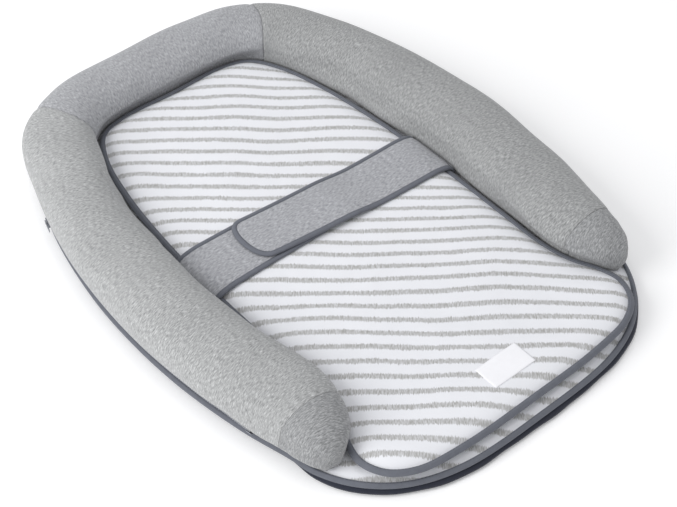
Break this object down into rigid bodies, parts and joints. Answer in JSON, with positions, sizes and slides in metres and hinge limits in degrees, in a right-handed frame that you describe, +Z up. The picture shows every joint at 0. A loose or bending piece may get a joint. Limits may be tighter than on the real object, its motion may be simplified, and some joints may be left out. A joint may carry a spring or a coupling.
{
  "type": "changing pad",
  "caption": "Soft baby changing pad: padded base, U-shaped bolster with zipped cover, removable striped mat and an opening belly band.",
  "frame": {"origin": "on the floor under the middle of the pad's bounding box", "axes": "+X to the pad's right seen from the foot, +Y to the closed head end, +Z up"},
  "size_m": [0.518, 0.7, 0.0685],
  "materials": {
    "jersey_melange": "brushed melange jersey",
    "jersey_striped": "white interlock knit with narrow grey stripes",
    "binding_slate": "matt bias binding",
    "underside_navy": "coated non-slip cloth",
    "foam": "polyurethane foam",
    "filling": "polyester fibre",
    "backing_white": "waterproof laminated cloth",
    "label_white": "woven satin tape",
    "hook_loop": "hook and loop tape",
    "zip_tape": "woven polyester tape",
    "zip_coil": "nylon coil",
    "zip_metal": "painted zinc"
  },
  "bodies": {
    "base": {"base_underside": "underside_navy", "base_foam_core": "foam", "base_top_cover": "jersey_striped", "base_binding": "binding_slate", "bolster_head_panel": "jersey_melange", "bolster_left_panel": "jersey_melange", "bolster_right_panel": "jersey_melange", "bolster_left_end_cap": "jersey_melange", "bolster_right_end_cap": "jersey_melange", "bolster_filling": "filling", "strap_right_root": "jersey_melange", "strap_left_root": "jersey_melange", "zip_tape": "zip_tape", "zip_coil": "zip_coil", "zip_end_stop": "zip_metal"},
    "mat": {"mat_top": "jersey_striped", "mat_wadding": "filling", "mat_backing": "backing_white", "mat_binding": "binding_slate", "mat_label": "label_white"},
    "strap_right": {"strap_right_cover": "jersey_melange", "strap_right_backing": "jersey_melange", "strap_right_binding": "binding_slate", "strap_right_hook_patch": "hook_loop"},
    "strap_left": {"strap_left_cover": "jersey_melange", "strap_left_backing": "jersey_melange", "strap_left_binding": "binding_slate", "strap_left_loop_patch": "hook_loop"},
    "zip_slider": {"zip_slider": "zip_metal"},
    "zip_pull": {"zip_pull": "zip_metal"}
  },
  "joints": [
    {"name": "mat_slide", "type": "slide", "parent": "base", "child": "mat", "axis": [0, -1, 0], "range_m": [0, 0.65]},
    {"name": "strap_right_hinge", "type": "hinge", "parent": "base", "child": "strap_right", "pos_m": [0.1556, 0, 0.0292], "axis": [0, 1, 0], "range_deg": [0, 105]},
    {"name": "strap_left_hinge", "type": "hinge", "parent": "base", "child": "strap_left", "pos_m": [-0.1556, 0, 0.0292], "axis": [0, -1, 0], "range_deg": [0, 94.5]},
    {"name": "zip_travel", "type": "hinge", "parent": "base", "child": "zip_slider", "pos_m": [0.478, -0.01, 0.02], "axis": [0, 0, 1], "range_deg": [0, 22]},
    {"name": "zip_pull_hinge", "type": "hinge", "parent": "zip_slider", "child": "zip_pull", "pos_m": [-0.23258, 0.18708, 0.02], "axis": [0, 0, 1], "range_deg": [-80, 0]}
  ],
  "couplings": [
    {"joint": "strap_left_hinge", "follows": "strap_right_hinge", "ratio": 0.9}
  ]
}
